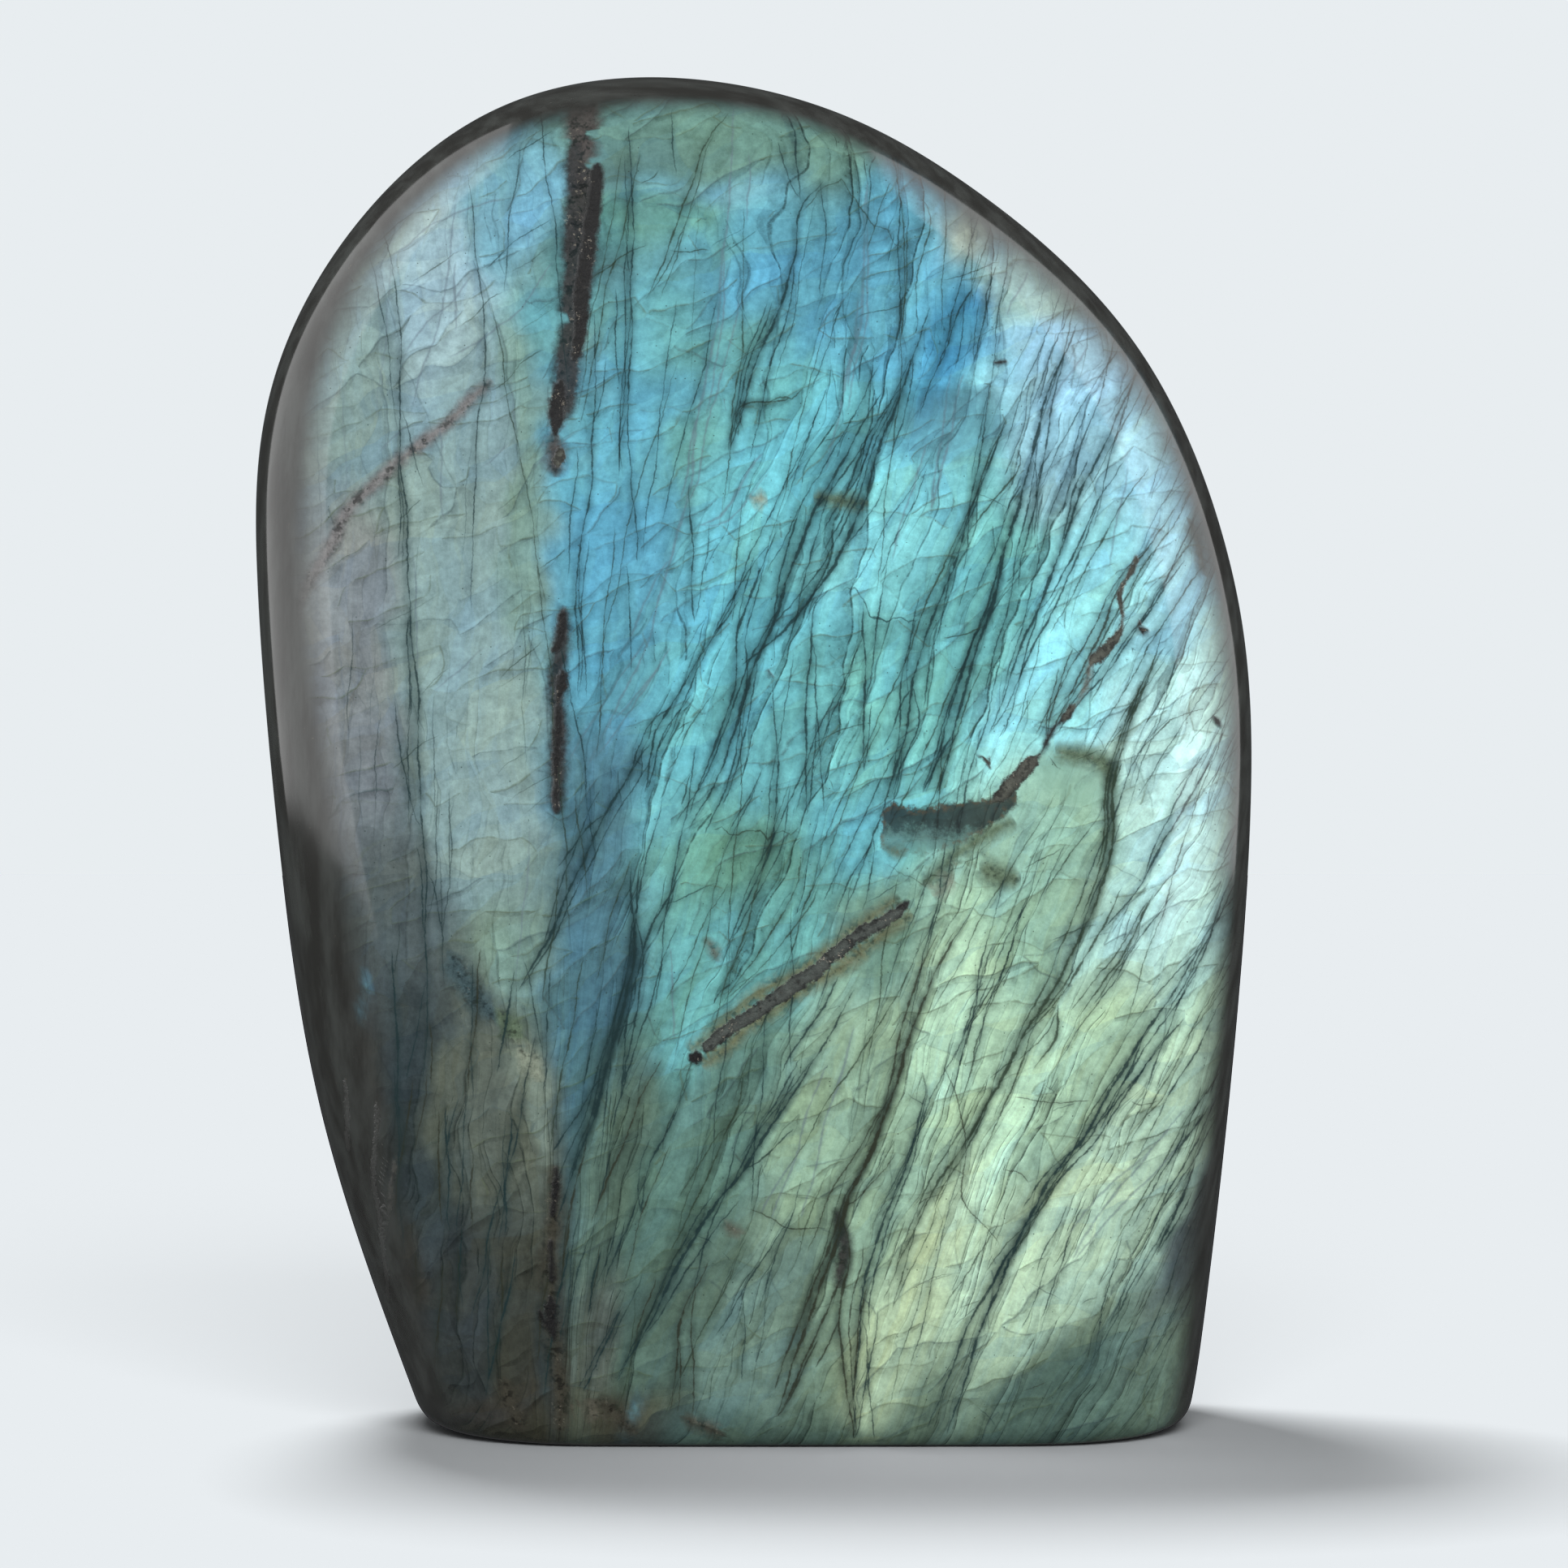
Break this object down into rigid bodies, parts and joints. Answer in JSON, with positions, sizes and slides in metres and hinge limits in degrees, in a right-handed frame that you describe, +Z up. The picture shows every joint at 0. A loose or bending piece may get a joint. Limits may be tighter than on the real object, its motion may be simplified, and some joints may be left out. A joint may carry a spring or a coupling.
{
  "type": "polished labradorite freeform",
  "caption": "Upright polished labradorite stone with domed blue-green faces, rounded edges all round and a flat sawn base to stand on.",
  "frame": {"origin": "middle of the footprint, on the sawn base", "axes": "+Z up, the broad front face towards -Y, +X to the right seen from the front"},
  "size_m": [0.1062, 0.0459, 0.1446],
  "materials": {
    "polished_labradorite": "mirror-polished opaque feldspar: blue, turquoise and green-gold flash in slanting cleavage slivers with dark cracks, smoke-grey body at the rim and back"
  },
  "bodies": {
    "root": {"labradorite_stone": "polished_labradorite"}
  },
  "joints": []
}
